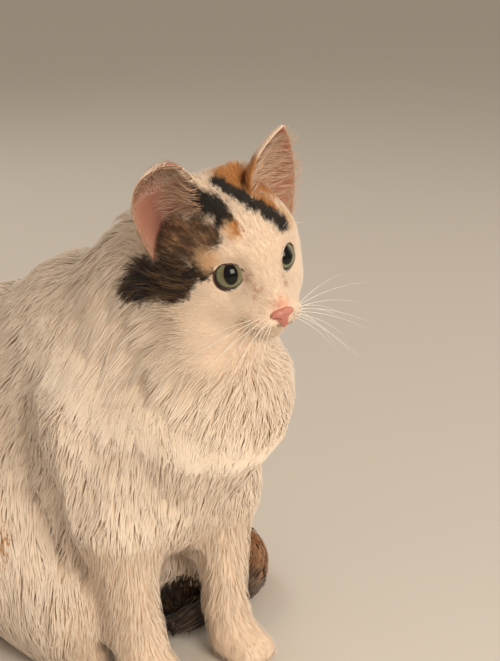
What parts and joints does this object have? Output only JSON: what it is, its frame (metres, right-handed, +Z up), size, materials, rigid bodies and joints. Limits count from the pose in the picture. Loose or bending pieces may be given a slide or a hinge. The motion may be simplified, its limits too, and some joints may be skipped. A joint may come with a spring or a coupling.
{
  "type": "seated cat",
  "caption": "Life-size still model of a seated semi-longhaired calico cat, head turned to its right, forelegs upright, tail curled round its left side.",
  "frame": {"origin": "on the floor, under the middle of the whole cat's box", "axes": "+Z up, the cat faces -Y, its left side is +X"},
  "size_m": [0.2558, 0.3606, 0.3701],
  "materials": {
    "coat_white": "matt cream-white semi-long fur",
    "coat_patched": "matt fur, cream-white with dark tabby and ginger patches",
    "coat_dark": "matt dark tabby and ginger fur",
    "eye": "clear wet gloss over a grey-green iris",
    "nose_leather": "pink, finely pebbled, slightly damp",
    "ear": "pink skin under thin cream fur"
  },
  "bodies": {
    "root": {"ear_left": "ear", "ear_right": "ear", "eye_left": "eye", "eye_right": "eye", "nose": "nose_leather", "jaw": "coat_white", "face": "coat_patched", "head": "coat_patched", "neck": "coat_white", "forepaw_left": "coat_white", "foreleg_left": "coat_white", "hind_foot_left": "coat_white", "thigh_left": "coat_white", "forepaw_right": "coat_white", "foreleg_right": "coat_white", "hind_foot_right": "coat_white", "thigh_right": "coat_white", "chest": "coat_white", "loins": "coat_white", "tail_root": "coat_dark", "tail_middle": "coat_dark", "tail_tip": "coat_dark"}
  },
  "joints": []
}
